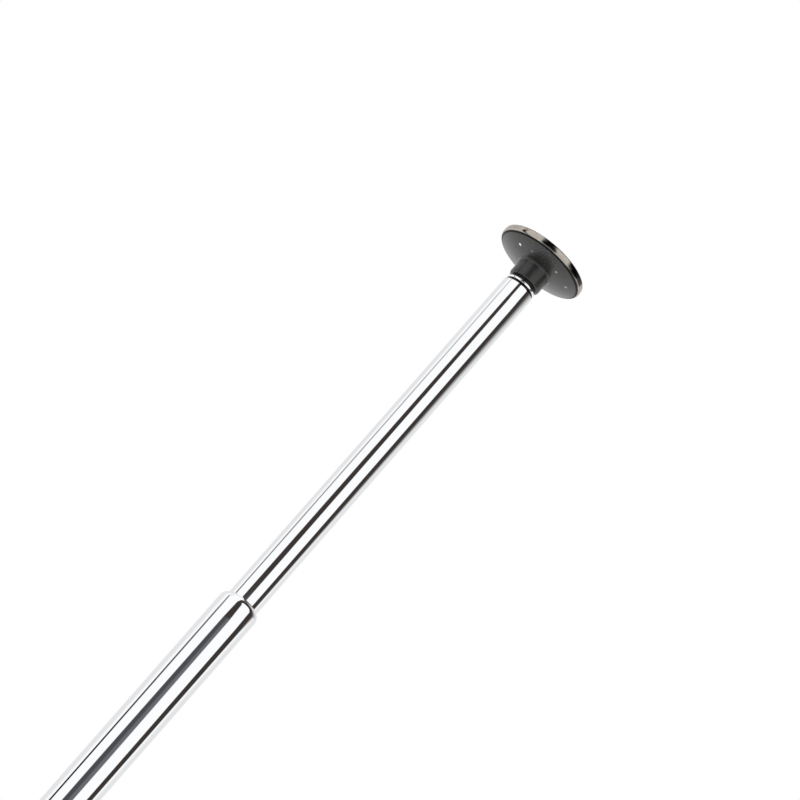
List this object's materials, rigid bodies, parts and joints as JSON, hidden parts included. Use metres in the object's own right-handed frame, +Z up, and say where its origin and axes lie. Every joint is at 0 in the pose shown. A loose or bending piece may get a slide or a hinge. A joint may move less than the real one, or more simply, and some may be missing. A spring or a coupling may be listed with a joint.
{
  "type": "telescopic handheld radio antenna",
  "caption": "Telescopic whip antenna: chromed tubes that slide into one another under a black disc cap, on a black moulded base with a bayonet coaxial plug.",
  "frame": {"origin": "centre of the coupling nut's front face, at the antenna's lowest point", "axes": "+Z up the whip towards the cap, X through the start of one bayonet track"},
  "size_m": [0.0144, 0.0144, 0.2713],
  "materials": {
    "chromed_tube": "bright chromium plate on drawn brass",
    "black_cap": "satin black nickel plate, turned",
    "turned_brass": "bright turned brass",
    "contact_bronze": "phosphor bronze strip",
    "nickel_plate": "nickel plate on turned brass",
    "gold_pin": "gold plate",
    "spring_steel": "spring steel",
    "black_moulding": "fine satin moulding",
    "white_insulator": "smooth, slightly waxy",
    "gasket_rubber": "silicone rubber"
  },
  "bodies": {
    "base": {"base_tube": "chromed_tube", "whip_plug": "turned_brass", "base_housing": "black_moulding", "insulating_bush": "white_insulator", "connector_body": "nickel_plate", "dielectric": "white_insulator", "centre_pin": "gold_pin", "gasket": "gasket_rubber", "retaining_ring": "spring_steel", "wave_washer": "contact_bronze"},
    "nut_seat": {"thrust_washer": "spring_steel"},
    "nut": {"coupling_nut": "nickel_plate"},
    "lower_section": {"lower_tube": "chromed_tube", "lower_foot": "turned_brass", "lower_contact_spring": "contact_bronze"},
    "middle_section": {"middle_tube": "chromed_tube", "middle_foot": "turned_brass", "middle_contact_spring": "contact_bronze"},
    "upper_section": {"upper_tube": "chromed_tube", "upper_foot": "turned_brass", "upper_contact_spring": "contact_bronze"},
    "tip_section": {"tip_tube": "chromed_tube", "tip_foot": "turned_brass", "tip_contact_spring": "contact_bronze", "tip_cap": "black_cap"}
  },
  "joints": [
    {"name": "lower_slide", "type": "slide", "parent": "base", "child": "lower_section", "axis": [0, 0, 1], "range_m": [-0.0536, 0]},
    {"name": "middle_slide", "type": "slide", "parent": "lower_section", "child": "middle_section", "axis": [0, 0, 1], "range_m": [-0.0476, 0]},
    {"name": "upper_slide", "type": "slide", "parent": "middle_section", "child": "upper_section", "axis": [0, 0, 1], "range_m": [-0.0415, 0]},
    {"name": "tip_slide", "type": "slide", "parent": "upper_section", "child": "tip_section", "axis": [0, 0, 1], "range_m": [-0.0354, 0]},
    {"name": "nut_float", "type": "slide", "parent": "base", "child": "nut_seat", "axis": [0, 0, -1], "range_m": [0, 0.0006], "stiffness_N_per_m": 6000, "springref_m": -0.0004, "deforming": ["wave_washer"]},
    {"name": "nut_turn", "type": "hinge", "parent": "nut_seat", "child": "nut", "pos_m": [0, 0, 0], "axis": [0, 0, 1], "continuous": true}
  ]
}
